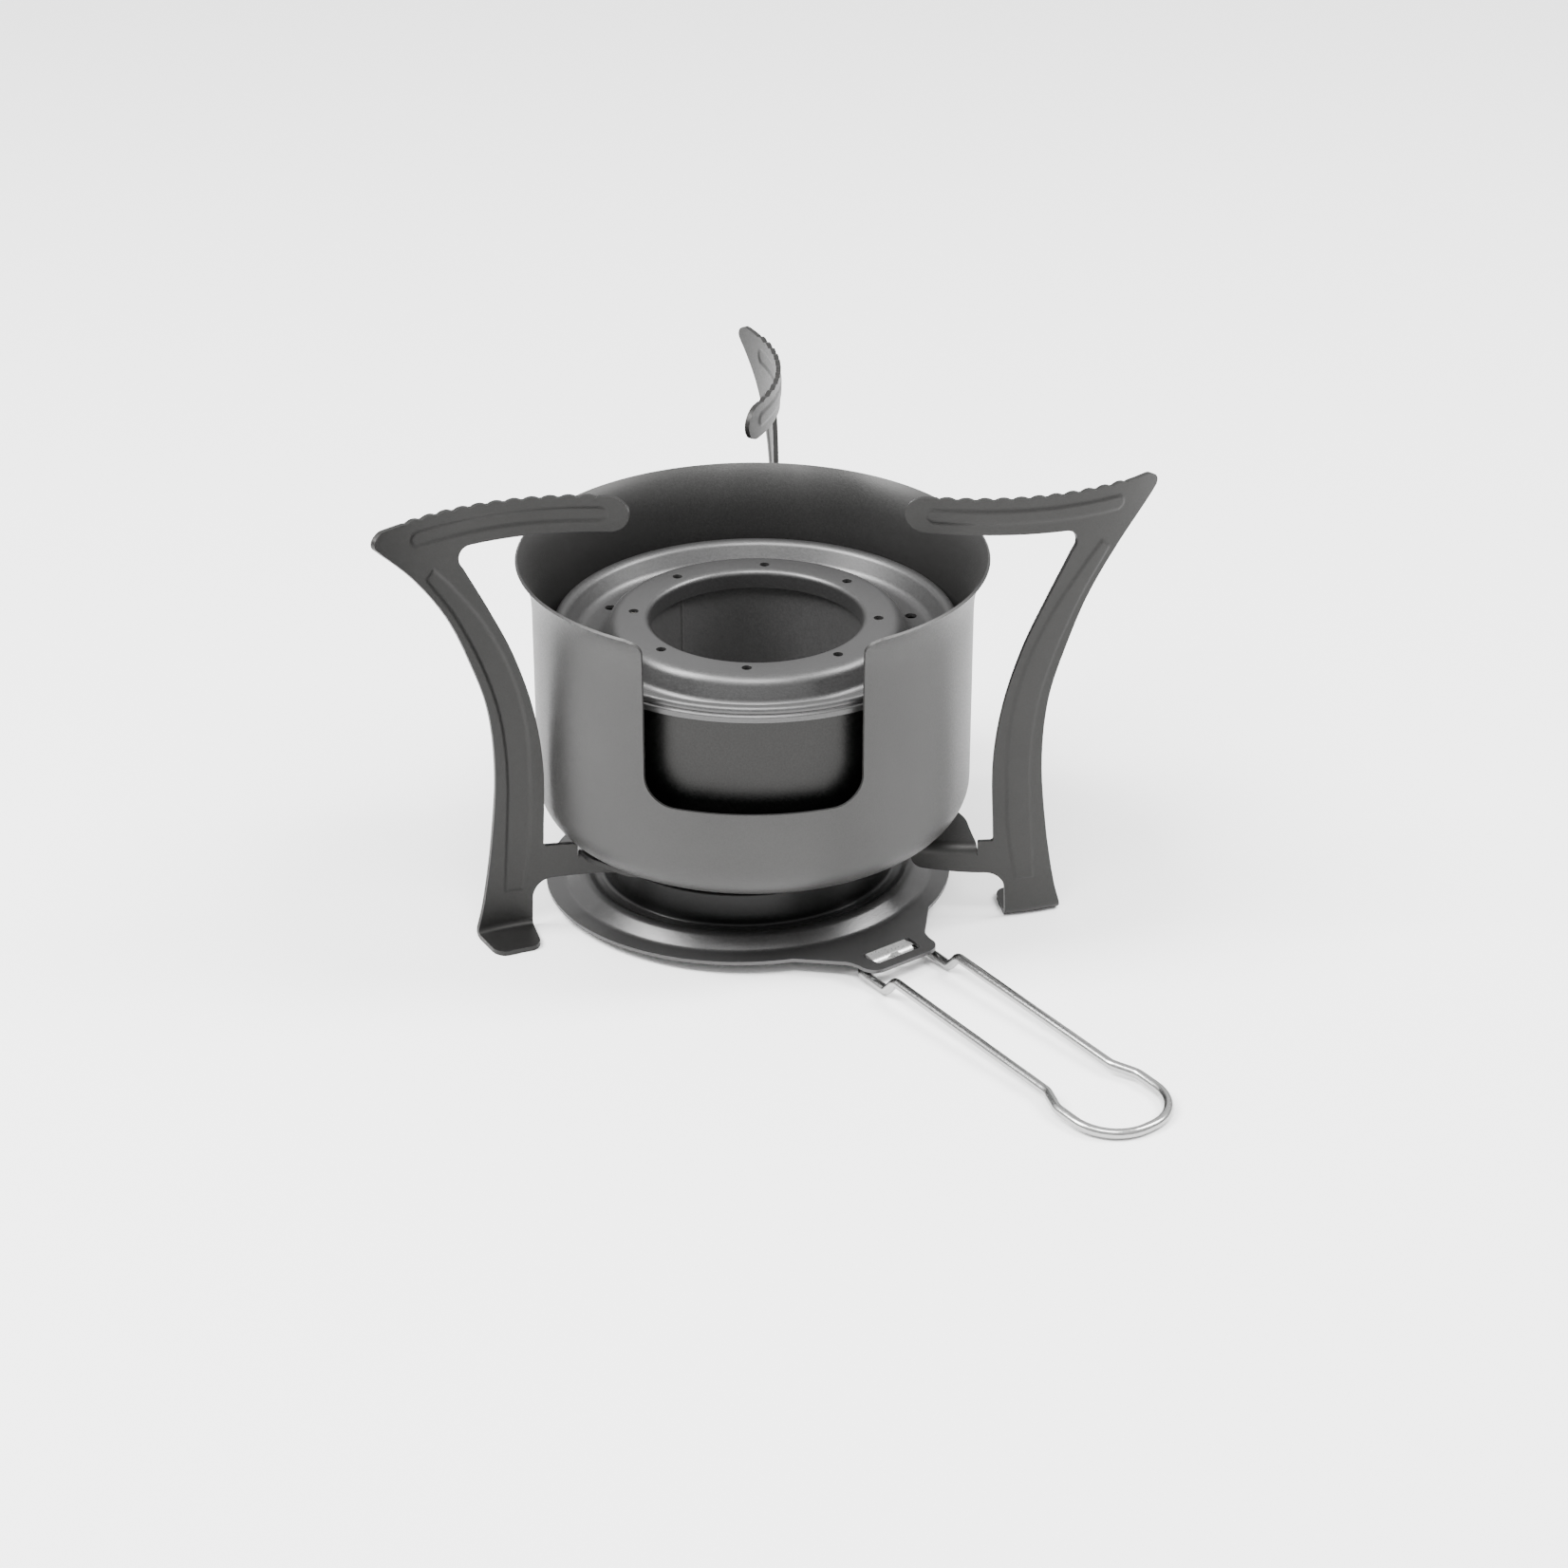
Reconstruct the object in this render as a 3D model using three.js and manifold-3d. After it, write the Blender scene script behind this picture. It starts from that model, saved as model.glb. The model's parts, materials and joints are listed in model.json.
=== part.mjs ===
// Spirit-burner stove set: slotted windscreen cup on three swivelling legs,
// pressurised burner inside it, snuffer lid with a wire handle on the table below.
// Millimetres, +Z up, cup axis on Z, table at z = 0, cup notch facing -Y.
import * as THREE from 'three';
import { mergeVertices } from 'three/addons/utils/BufferGeometryUtils.js';
import Module from 'manifold-3d';

const wasm = await Module();
wasm.setup();

const GAP = 0.3;            // clearance between pieces that touch
const RUN = 0.08;           // radial running clearance on rivets and hinge wire
const SEG = 44;             // facets round the large turned pieces

// Windscreen cup
const CUP_R = 42, CUP_Z = 17.6, CUP_TOP = 70.9, CUP_RIM_R = 44.9, CUP_T = 0.8;
const CUP_CORNER = 8, FLARE_Z = 62;
const NOTCH_HALF = 20.2, NOTCH_Z = 37.3, NOTCH_CORNER = 5.5, NOTCH_LEAD = 2.8;

// Legs: one curved plate each, swinging on a rivet under the cup
const LEG_T = 1, LEG_R = 46.4, LEG_TOP = 89, LEG_LEAN = 1.65;
const PIVOT_R = 29, PIVOT_AZ = 102.1;
const ARC_X = 23.6, ARC_Y = 34.4;          // plate's arc centre seen from the pivot
const LEGS = { rear: [0, -10.5], left: [1, -21.2], right: [2, 32.3] };
const FLANGE_TOP = CUP_Z - 1.3, THROAT_Z = 17.2, FOOT_DEPTH = 9.5, FOOT_IN = -4.5, FOOT_OUT = 6.7;
const CRESTS = 11, CREST_PITCH = 3.3, CREST_H = 0.8;
const RIB_H = 0.35;

// Rivets and washers
const RIVET_R = 1.55, HEAD_R = 3.2, WASHER_R = 4.2, WASHER_T = 0.65;

// Burner, standing a little off the cup's axis
const BURNER_X = 0.55;
const BODY_R = 37.5, BODY_Z = CUP_Z + 3.4, SHEET = 0.8, SEAM_R = 38.8, COLLAR_Z = 58.4;
const MOUTH_R = 20.4, JET_N = 8, JET_R = 0.95, JET_RING = 23.4, JET_AZ = 40.7;
const DRAIN_N = 16, DRAIN_R = 1.2, DRAIN_RING = 31.6, DRAIN_AZ = 18.2;

// Snuffer lid and its wire handle
const LID_R = 40, LID_T = 0.7, LID_X = -1.2, LID_Y = 3.5, LID_AZ = -53.3, DOME_R = 28.5, DOME_H = 9.1;
const TAB_END = 50.4, TAB_HALF = 8, BARREL_U = 45.2, BARREL_Z = -1.25, WIRE_R = 0.95;
const LID_TILT = Math.atan2(1.6 - BARREL_Z, LID_R + BARREL_U);
const HINGE_Z = BARREL_Z + (LID_R + BARREL_U) * Math.sin(LID_TILT);
const WIRE_HALF = 7.6, KINK_U = 8.3, KINK_H = 3.1, GRIP_U = 54, GRIP_END = 72.5, GRIP_HALF = 9.6;

const rad = THREE.MathUtils.degToRad;
const metal = (color, roughness, metalness = 0.9) =>
  new THREE.MeshStandardMaterial({ color, roughness, metalness });
const MAT = {
  cup: metal(0x8c8a86, 0.55), leg: metal(0x66685f, 0.6), burner: metal(0x7e7c79, 0.5),
  lid: metal(0x6c6b69, 0.5), steel: metal(0xb8b8b8, 0.25), felt: metal(0xcfcabd, 0.95, 0),
};

// ---- solids ---------------------------------------------------------------
function solid(geometry) {
  const g = geometry.clone();
  for (const name of ['normal', 'uv']) g.deleteAttribute(name);
  const m = mergeVertices(g, 1e-4);
  return new wasm.Manifold(new wasm.Mesh({
    numProp: 3,
    vertProperties: new Float32Array(m.attributes.position.array),
    triVerts: new Uint32Array(m.index.array),
  }));
}

function mesh(name, body, material, matrix) {
  const { vertProperties, triVerts } = body.getMesh();
  const g = new THREE.BufferGeometry();
  g.setAttribute('position', new THREE.BufferAttribute(new Float32Array(vertProperties), 3));
  g.setIndex(new THREE.BufferAttribute(new Uint32Array(triVerts), 1));
  if (matrix) g.applyMatrix4(matrix);
  g.computeVertexNormals();
  const out = new THREE.Mesh(g, material.clone());
  out.name = name;
  return out;
}

// Closed profile of a sheet of thickness t lying to the right of the line of points
function sheet(points, t) {
  const back = points.map(([x, y], i) => {
    const a = points[Math.max(i - 1, 0)], b = points[Math.min(i + 1, points.length - 1)];
    const u = new THREE.Vector2(x - a[0], y - a[1]), v = new THREE.Vector2(b[0] - x, b[1] - y);
    if (u.lengthSq() === 0) u.copy(v);
    if (v.lengthSq() === 0) v.copy(u);
    u.normalize(); v.normalize();
    const n = new THREE.Vector2(u.y + v.y, -u.x - v.x).normalize();
    const k = t / Math.max(n.dot(new THREE.Vector2(u.y, -u.x)), 0.5);
    return [x === 0 ? 0 : x + n.x * k, y + n.y * k];
  });
  return [...points, ...back.reverse()];
}

const arc = (cx, cy, r, from, to, n) => Array.from({ length: n + 1 }, (_, i) => {
  const a = rad(from + (to - from) * i / n);
  return [cx + r * Math.cos(a), cy + r * Math.sin(a)];
});

function turned(profile, seg = SEG) {
  const area = profile.reduce((s, [x, y], i) => {
    const [u, v] = profile[(i + 1) % profile.length];
    return s + x * v - u * y;
  }, 0);
  const pts = (area > 0 ? profile : [...profile].reverse()).map(([x, y]) => new THREE.Vector2(x, y));
  if (pts[0].x !== 0 || pts[pts.length - 1].x !== 0) {
    const k = pts.findIndex((p, i) => p.x === 0 && pts[(i + pts.length - 1) % pts.length].x === 0);
    if (k > 0) pts.push(...pts.splice(0, k));
    if (k < 0) pts.push(pts[0].clone());
  }
  const body = solid(new THREE.LatheGeometry(pts, seg).rotateX(Math.PI / 2));
  return body;
}

function ring(rIn, rOut, z0, z1, seg) {
  const p = rIn > 0 ? [[rIn, z0], [rOut, z0], [rOut, z1], [rIn, z1]] : [[0, z0], [rOut, z0], [rOut, z1], [0, z1]];
  return turned(p, seg);
}

// The same outline with repeated points dropped
function tidy(shape, curveSegments) {
  const apart = (list) => list.filter((p, i) => p.distanceTo(list[(i + 1) % list.length]) > 0.02);
  const out = new THREE.Shape(apart(shape.getPoints(curveSegments)));
  out.holes = (shape.holes ?? []).map((h) => new THREE.Path(apart(h.getPoints(curveSegments))));
  return out;
}

// Plan shape raised from z0 to z1
const plate = (shape, z0, z1, curveSegments = 8) => solid(new THREE.ExtrudeGeometry(
  tidy(shape, curveSegments), { depth: z1 - z0, bevelEnabled: false }).translate(0, 0, z0));

// Front-view shape (x, z) extended from y0 to y1
const upright = (shape, y0, y1, curveSegments = 8) => solid(new THREE.ExtrudeGeometry(
  tidy(shape, curveSegments), { depth: y1 - y0, bevelEnabled: false }).rotateX(Math.PI / 2).translate(0, y1, 0));

const box = (x0, x1, y0, y1, z0, z1) => solid(
  new THREE.BoxGeometry(x1 - x0, y1 - y0, z1 - z0).translate((x0 + x1) / 2, (y0 + y1) / 2, (z0 + z1) / 2));

const rod = (x, y, r, z0, z1, seg = 12) => solid(
  new THREE.CylinderGeometry(r, r, z1 - z0, seg).rotateX(Math.PI / 2).translate(x, y, (z0 + z1) / 2));

const joined = (parts) => parts.reduce((a, b) => a.add(b));
const pivotAt = (k) => {
  const a = rad(PIVOT_AZ + 120 * k);
  return [PIVOT_R * Math.cos(a), PIVOT_R * Math.sin(a)];
};

// ---- windscreen cup ---------------------------------------------------------
function cupBody() {
  const line = [[0, CUP_Z], ...arc(CUP_R - CUP_CORNER, CUP_Z + CUP_CORNER, CUP_CORNER, -90, 0, 6),
    [CUP_R, FLARE_Z], [CUP_R + 0.35, FLARE_Z + 2.8], [CUP_R + 1.1, FLARE_Z + 5.4],
    [CUP_R + 2.1, FLARE_Z + 7.6], [CUP_RIM_R, CUP_TOP]];
  const cup = turned(sheet(line, -CUP_T));
  const w = NOTCH_HALF, lead = w + NOTCH_LEAD, c = NOTCH_CORNER;
  const s = new THREE.Shape();
  s.moveTo(-lead, CUP_TOP + 9).lineTo(-lead, CUP_TOP + 0.2);
  s.quadraticCurveTo(-w, CUP_TOP - 0.4, -w, CUP_TOP - 3.6).lineTo(-w, NOTCH_Z + c);
  s.absarc(-w + c, NOTCH_Z + c, c, Math.PI, 1.5 * Math.PI, false);
  s.absarc(w - c, NOTCH_Z + c, c, 1.5 * Math.PI, 2 * Math.PI, false);
  s.lineTo(w, CUP_TOP - 3.6).quadraticCurveTo(w, CUP_TOP - 0.4, lead, CUP_TOP + 0.2);
  s.lineTo(lead, CUP_TOP + 9).closePath();
  const holes = [0, 1, 2].map((k) => rod(...pivotAt(k), RIVET_R + GAP, CUP_Z - 2, CUP_Z + 3, 16));
  return cup.subtract(upright(s, -60, -15, 5)).subtract(joined(holes));
}

// ---- leg: outline in (chord, height) cut from an arc band, its foot leaning to the hollow side ----
function legOutline() {
  const s = new THREE.Shape(), v = (list) => list.map(([x, y]) => new THREE.Vector2(x, y));
  s.moveTo(FOOT_IN, 0).lineTo(FOOT_OUT, 0);
  s.splineThru(v([[4.9, 8], [2.7, 20], [1.6, 35], [2.5, 47.5], [5.6, 58], [9.8, 68], [16, 77.2], [23.6, 85.4]]));
  s.quadraticCurveTo(26, 88.6, 22.6, LEG_TOP - 0.3).lineTo(CRESTS * CREST_PITCH / 2 - 1, LEG_TOP - 0.3);
  for (let i = 0; i < CRESTS; i++) {
    const x = CRESTS * CREST_PITCH / 2 - 1 - i * CREST_PITCH;
    const valley = LEG_TOP - CREST_H;
    if (i > 0) s.lineTo(x, valley);
    s.quadraticCurveTo(x - 0.25, LEG_TOP + 0.1, x - CREST_PITCH / 2, LEG_TOP);
    s.quadraticCurveTo(x - CREST_PITCH + 0.25, LEG_TOP + 0.1, x - CREST_PITCH, i < CRESTS - 1 ? valley : LEG_TOP - 0.2);
  }
  s.absarc(-20.9, LEG_TOP - 3.6, 3.4, Math.PI / 2, 1.5 * Math.PI, false);
  s.lineTo(-10, 81.8).lineTo(4.5, 81.6).quadraticCurveTo(7.8, 81.2, 6.9, 78.6);
  s.splineThru(v([[1.2, 67.5], [-3, 58], [-6.3, 46.5], [-7.8, 34], [-7.2, THROAT_Z + 1.2]]));
  s.lineTo(-7.8, THROAT_Z).lineTo(-10.6, THROAT_Z).lineTo(-11.2, FLANGE_TOP).lineTo(-22, FLANGE_TOP);
  s.lineTo(-22, 13).quadraticCurveTo(-21.6, 11.3, -19.6, 11).lineTo(-12, 10.5);
  s.quadraticCurveTo(-5, 10.2, -4.8, 5).closePath();
  return s;
}

function columnRib() {
  const s = new THREE.Shape(), v = (list) => list.map(([x, y]) => new THREE.Vector2(x, y));
  s.moveTo(-3.8, 8).lineTo(1.2, 8);
  s.splineThru(v([[-0.3, 22], [-0.9, 34], [0.1, 46], [3.2, 57], [8, 68], [14, 77]]));
  s.lineTo(11.6, 78.4);
  s.splineThru(v([[2.6, 65.5], [-2.2, 55], [-4.7, 44], [-5.3, 33], [-5, 20], [-3.8, 8.1]]));
  return s;
}

function supportRib() {
  const s = new THREE.Shape();
  s.absarc(15, 85.1, 1.4, -Math.PI / 2, Math.PI / 2, false);
  s.absarc(-19.5, 85.4, 1.2, Math.PI / 2, 1.5 * Math.PI, false);
  return s;
}

// Arc band of the plate's cylinder between two radii
function band(r0, r1) {
  const a = rad(-90 - 33), b = rad(-90 + 33), s = new THREE.Shape();
  s.absarc(ARC_X, ARC_Y, r1, a, b, false);
  s.absarc(ARC_X, ARC_Y, r0, b, a, true);
  return plate(s, -1, LEG_TOP + 2, 6);
}

// Flange under the cup; on the left leg its outer side is cut back to the lobe round the rivet
function flangeShape(cutBack) {
  const s = new THREE.Shape();
  if (cutBack) s.moveTo(11.6, -9.2).quadraticCurveTo(9.6, -3.6, 6.9, 0.3).lineTo(4, 4.7);
  else s.moveTo(13.4, -9.6).lineTo(14.5, 1.6).quadraticCurveTo(14.6, 4.6, 12.2, 5.3).lineTo(2.2, 5.8);
  s.absarc(0, 0, 6.2, rad(cutBack ? 50 : 69), rad(248), false);
  s.lineTo(5, -6.9).closePath();
  return s;
}

function footShape() {
  const y0 = ARC_Y - LEG_R + LEG_LEAN, x0 = ARC_X + FOOT_IN, x1 = ARC_X + FOOT_OUT;
  const y1 = y0 + FOOT_DEPTH, r = 2.6;
  const s = new THREE.Shape();
  s.moveTo(x0, y0 + 0.4).lineTo(x1, y0 + 0.4).lineTo(x1, y1 - r);
  s.absarc(x1 - r, y1 - r, r, 0, Math.PI / 2, false);
  s.absarc(x0 + r, y1 - r, r, Math.PI / 2, Math.PI, false);
  return s;
}

function legBody(cutBack) {
  const t = LEG_T / 2, lean = LEG_LEAN / LEG_TOP;
  const cut = (shape, seg) => upright(shape, -30, 20, seg).translate([ARC_X, 0, 0]);
  const ribs = [columnRib(), supportRib()].map((r) => cut(r, 2));
  let leg = band(LEG_R - t, LEG_R + t).intersect(cut(legOutline(), 2));
  for (const rib of ribs) leg = leg.add(band(LEG_R + t - 0.1, LEG_R + t + RIB_H).intersect(rib));
  leg = leg.transform([1, 0, 0, 0, 0, 1, 0, 0, 0, -lean, 1, 0, 0, LEG_LEAN, 0, 1]);
  leg = leg.add(plate(flangeShape(cutBack), FLANGE_TOP - LEG_T, FLANGE_TOP, 5)).add(plate(footShape(), 0, LEG_T, 3));
  return leg.subtract(rod(0, 0, RIVET_R + RUN, FLANGE_TOP - 3, FLANGE_TOP + 2, 16));
}

// ---- rivets and washers -----------------------------------------------------
function rivetBody() {
  const low = FLANGE_TOP - LEG_T - GAP, high = CUP_Z + CUP_T + GAP + WASHER_T + GAP;
  return turned([[0, low - 1.1], [HEAD_R - 0.7, low - 1.1], [HEAD_R, low - 0.5], [HEAD_R, low], [RIVET_R, low],
    [RIVET_R, high], [HEAD_R - 0.2, high], [HEAD_R - 0.8, high + 0.7], [0, high + 0.7]], 16);
}

// ---- burner -------------------------------------------------------------------
function burnerShell() {
  const line = [[0, BODY_Z], ...arc(BODY_R - 3, BODY_Z + 3, 3, -90, 0, 3), [BODY_R, COLLAR_Z - 4.4]];
  return turned(sheet(line, -SHEET));
}

function burnerTop() {
  const z = COLLAR_Z;
  const line = [[SEAM_R, z - 3.8], [SEAM_R, z - 1.5], [SEAM_R - 0.9, z - 0.8], [36.6, z - 1.1],
    [34.8, z - 3.4], [33.2, z - 5], [30, z - 5], [28.4, z - 3.4], [27.2, z - 0.9], [25.4, z],
    [MOUTH_R + 0.9, z], [MOUTH_R, z - 1], [MOUTH_R, z - 3.7]];
  const holes = [];
  const drill = (n, r, ringR, from, z0, z1, seg) => {
    for (let i = 0; i < n; i++) {
      const a = rad(from + 360 * i / n);
      holes.push(rod(ringR * Math.cos(a), ringR * Math.sin(a), r, z0, z1, seg));
    }
  };
  drill(JET_N, JET_R, JET_RING, JET_AZ, z - 3, z + 2, 10);
  drill(DRAIN_N, DRAIN_R, DRAIN_RING, DRAIN_AZ, z - 9, z - 3.5, 10);
  return turned(sheet(line, -SHEET)).subtract(joined(holes));
}

// ---- snuffer lid ----------------------------------------------------------------
function lidTab() {
  const s = new THREE.Shape(), e = TAB_END, h = TAB_HALF;
  s.moveTo(36.5, -15).quadraticCurveTo(41.5, -12.5, 43.6, -10).quadraticCurveTo(44.9, -8.6, 47, -8.4);
  s.quadraticCurveTo(e, -h, e, -h + 3).lineTo(e, h - 3).quadraticCurveTo(e, h, 47, 8.4);
  s.quadraticCurveTo(44.9, 8.6, 43.6, 10).quadraticCurveTo(41.5, 12.5, 36.5, 15).closePath();
  const w = new THREE.Path();
  w.moveTo(43.6, -5.6).lineTo(43.6, 5.6).lineTo(48.1, 5.2).lineTo(48.1, -5.2).closePath();
  s.holes.push(w);
  return plate(s, 0, LID_T, 5);
}

function barrel() {
  const tube = ring(WIRE_R + RUN, 1.6, -4.7, 4.7, 16);
  const flap = box(43.2, BARREL_U + 0.3, -4.7, 4.7, -0.3, LID_T - 0.15);
  const tongue = box(BARREL_U + 0.6, 48.4, -0.8, 0.8, -0.3, LID_T - 0.15);
  const bore = solid(new THREE.CylinderGeometry(WIRE_R + RUN, WIRE_R + RUN, 20, 16).translate(BARREL_U, 0, BARREL_Z));
  return tube.rotate([90, 0, 0]).translate([BARREL_U, 0, BARREL_Z]).add(flap).add(tongue).subtract(bore);
}

function lidBody() {
  const line = [[0, DOME_H], [DOME_R - 1.2, DOME_H], [DOME_R - 0.3, DOME_H - 0.4], [DOME_R, DOME_H - 1.2],
    [DOME_R, 2.7], [DOME_R + 0.6, 2.1], [30.6, 2.3], [31.8, 2.85], [33, 2.95], [34.2, 2.35], [36, 0.9],
    [37.6, LID_T], [LID_R, LID_T]];
  return turned(sheet(line, LID_T)).add(lidTab()).add(barrel());
}

// Bent wire given as a corner polyline: each corner gets its own radius
class WirePath extends THREE.Curve {
  constructor(corners) {
    super();
    this.pts = [];
    corners.forEach(([x, y, z, r, n], i) => {
      const p = new THREE.Vector3(x, y, z);
      if (!r) return this.pts.push(p);
      const a = new THREE.Vector3(...corners[i - 1].slice(0, 3)).sub(p).setLength(r).add(p);
      const b = new THREE.Vector3(...corners[i + 1].slice(0, 3)).sub(p).setLength(r).add(p);
      for (let k = 0; k <= n; k++) this.pts.push(new THREE.QuadraticBezierCurve3(a, p, b).getPoint(k / n));
    });
  }
  getPoint(t) {
    const f = t * (this.pts.length - 1), i = Math.min(Math.floor(f + 1e-6), this.pts.length - 2);
    return this.pts[i].clone().lerp(this.pts[i + 1], f - i);
  }
  getPointAt(t) { return this.getPoint(t); }
  getTangentAt(t) {
    const n = this.pts.length - 1, i = Math.round(t * n);
    const a = this.pts[Math.max(i - 1, 0)], b = this.pts[Math.min(i + 1, n)], p = this.pts[i];
    const u = p.clone().sub(a).normalize(), v = b.clone().sub(p).normalize();
    return u.add(v).normalize();
  }
}

function handleBody() {
  const half = [[0, 0.25, 0], [0, WIRE_HALF, 0, 1.8, 3], [KINK_U, WIRE_HALF, 0, 1.7, 3],
    [KINK_U + 2.4, WIRE_HALF, KINK_H, 1.7, 3], [GRIP_U, WIRE_HALF, KINK_H, 3, 2],
    [GRIP_U + 5, GRIP_HALF, KINK_H, 3, 2], [GRIP_END, GRIP_HALF, KINK_H, 8.6, 5]];
  const path = new WirePath([...half, ...half.map(([x, y, ...rest]) => [x, -y, ...rest]).reverse()]);
  const round = new THREE.Shape().absarc(0, 0, WIRE_R, 0, 2 * Math.PI, false);
  return solid(new THREE.ExtrudeGeometry(round,
    { steps: path.pts.length - 1, extrudePath: path, curveSegments: 4, bevelEnabled: false }));
}

// ---- assembly -------------------------------------------------------------------
const place = (x, y, az) => new THREE.Matrix4().makeTranslation(x, y, 0)
  .multiply(new THREE.Matrix4().makeRotationZ(rad(az)));

function lidMatrix() {
  const lift = new THREE.Matrix4().makeTranslation(0, 0, LID_R * Math.sin(LID_TILT));
  return place(LID_X, LID_Y, LID_AZ).multiply(lift).multiply(new THREE.Matrix4().makeRotationY(-LID_TILT));
}

function handleMatrix() {
  const droop = Math.asin((HINGE_Z + KINK_H - WIRE_R - 0.05) / GRIP_END);
  const u = BARREL_U * Math.cos(LID_TILT) - BARREL_Z * Math.sin(LID_TILT);
  const z = LID_R * Math.sin(LID_TILT) + BARREL_U * Math.sin(LID_TILT) + BARREL_Z * Math.cos(LID_TILT);
  return place(LID_X, LID_Y, LID_AZ).multiply(new THREE.Matrix4().makeTranslation(u, 0, z))
    .multiply(new THREE.Matrix4().makeRotationY(droop));
}

const part = new THREE.Group();
part.name = 'spirit_stove';
part.add(mesh('windscreen_cup', cupBody(), MAT.cup));

const leg = legBody(false), legCut = legBody(true), rivet = rivetBody();
const outerWasher = ring(RIVET_R + GAP, WASHER_R, FLANGE_TOP + GAP, FLANGE_TOP + GAP + WASHER_T, 16);
const innerWasher = ring(RIVET_R + GAP, WASHER_R, CUP_Z + CUP_T + GAP, CUP_Z + CUP_T + GAP + WASHER_T, 16);
for (const [side, [k, swing]] of Object.entries(LEGS)) {
  const at = place(...pivotAt(k), PIVOT_AZ + 120 * k + swing);
  part.add(mesh(`leg_${side}`, side === 'left' ? legCut : leg, MAT.leg, at));
  part.add(mesh(`pivot_rivet_${side}`, rivet, MAT.steel, at));
  part.add(mesh(`leg_washer_${side}`, outerWasher, MAT.steel, at));
  part.add(mesh(`backing_washer_${side}`, innerWasher, MAT.steel, at));
}

const burnerAt = place(BURNER_X, 0, 0);
const sleeve = ring(21.5, 22.3, BODY_Z + SHEET + GAP, COLLAR_Z - 1.2, 40);
part.add(mesh('burner_body', burnerShell(), MAT.burner, burnerAt));
part.add(mesh('burner_top_ring', burnerTop(), MAT.burner, burnerAt));
part.add(mesh('burner_inner_sleeve', sleeve, MAT.burner, burnerAt));
part.add(mesh('burner_wick', ring(22.8, 36.2, BODY_Z + 3.4, 48, 32), MAT.felt, burnerAt));
part.add(mesh('snuffer_lid', lidBody(), MAT.lid, lidMatrix()));
part.add(mesh('lid_handle', handleBody(), MAT.steel, handleMatrix()));

// Origin on the table under the middle of the bounding box
const bounds = new THREE.Box3().setFromObject(part), middle = bounds.getCenter(new THREE.Vector3());
for (const piece of part.children) piece.geometry.translate(-middle.x, -middle.y, -bounds.min.z);

export default part;
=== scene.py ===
from math import asin, atan2, ceil, cos, degrees, pi, radians, sin, tan
import json
import bmesh
import bpy
from mathutils import Matrix, Vector


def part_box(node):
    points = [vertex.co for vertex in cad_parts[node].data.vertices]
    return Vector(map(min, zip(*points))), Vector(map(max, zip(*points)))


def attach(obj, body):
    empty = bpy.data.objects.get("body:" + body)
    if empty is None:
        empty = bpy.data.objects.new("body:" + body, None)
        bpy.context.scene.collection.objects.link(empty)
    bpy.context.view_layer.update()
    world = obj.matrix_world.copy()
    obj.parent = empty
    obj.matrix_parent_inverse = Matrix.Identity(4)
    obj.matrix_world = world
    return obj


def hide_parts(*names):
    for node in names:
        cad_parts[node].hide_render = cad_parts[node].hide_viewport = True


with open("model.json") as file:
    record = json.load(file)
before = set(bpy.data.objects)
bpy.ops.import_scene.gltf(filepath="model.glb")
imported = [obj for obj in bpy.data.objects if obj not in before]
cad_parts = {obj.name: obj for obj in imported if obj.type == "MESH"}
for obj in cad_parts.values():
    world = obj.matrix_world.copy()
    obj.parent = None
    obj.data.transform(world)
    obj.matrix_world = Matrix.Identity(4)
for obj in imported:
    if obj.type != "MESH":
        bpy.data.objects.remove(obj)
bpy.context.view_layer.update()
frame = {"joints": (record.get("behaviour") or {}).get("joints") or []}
MM = 0.001

# ---- where things are -------------------------------------------------------------
joint = {j["name"]: j for j in frame["joints"]}
low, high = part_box("burner_body")
BURNER_X = 0.55                             # how far the burner stands off the cup's axis, in mm
BURNER_AT = Matrix.Translation(((low[0] + high[0]) / 2, (low[1] + high[1]) / 2, 0))
AXIS = BURNER_AT @ Matrix.Translation((-BURNER_X * MM, 0, 0))

# Driving sizes in millimetres, the same as the CAD's apart from the cup's thinner sheet
CUP_R, CUP_Z, CUP_TOP, CUP_RIM_R, CUP_T = 42, 17.6, 70.9, 44.9, 0.55
CUP_FLOOR = CUP_Z + 0.8                     # top of the CAD's floor, which the washers stand on
FLARE_Z = 61                                # where the cup's wall starts to open into its rim
NOTCH_HALF, NOTCH_Z, NOTCH_CORNER = 20.2, 37.3, 5.5
LEG_T, LEG_R, LEG_TOP, ARC = 1.0, 46.4, 89, Vector((23.6, 34.4))
LEG_LEAN, THROAT_Z, FOOT_IN, FOOT_OUT = 1.65 / LEG_TOP, 17.2, -4.5, 6.7
LEG_AZ = {"rear": 102.1 - 10.5, "left": 222.1 - 21.2, "right": 342.1 + 32.3}    # rivet's, plus swing
FLANGE_TOP, BEND, FOOT_LENGTH = CUP_Z - 1.3, 1.5, 9.5
GAP, WASHER_T, WASHER_IN, WASHER_OUT = 0.3, 0.65, 1.85, 4.2
RIB_H, RIB_EDGE = 0.22, 0.4                 # pressed ribs: height and width of their slope
RIVET_R, BODY_R, BODY_Z, COLLAR_Z, SEAM_R, MOUTH_R = 1.55, 37.5, CUP_Z + 3.4, 58.4, 38.8, 20.4
JETS = (8, 0.95, 23.4, 40.7, 3)             # number, radius, ring, first azimuth, start below the collar
DRAINS = (16, 1.15, 31.6, 18.2, 8)
SLEEVE_IN, SLEEVE_OUT, SEAM_AZ = 21.5, 22.2, 132
BODY_T, TOP_T = 0.6, 0.7                    # sheet of the burner's body and of its top
LID_R, LID_T, LID_AZ, BARREL_U, BARREL_Z, WIRE_R = 40, 0.7, -53.3, 45.2, -1.25, 0.95
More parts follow.
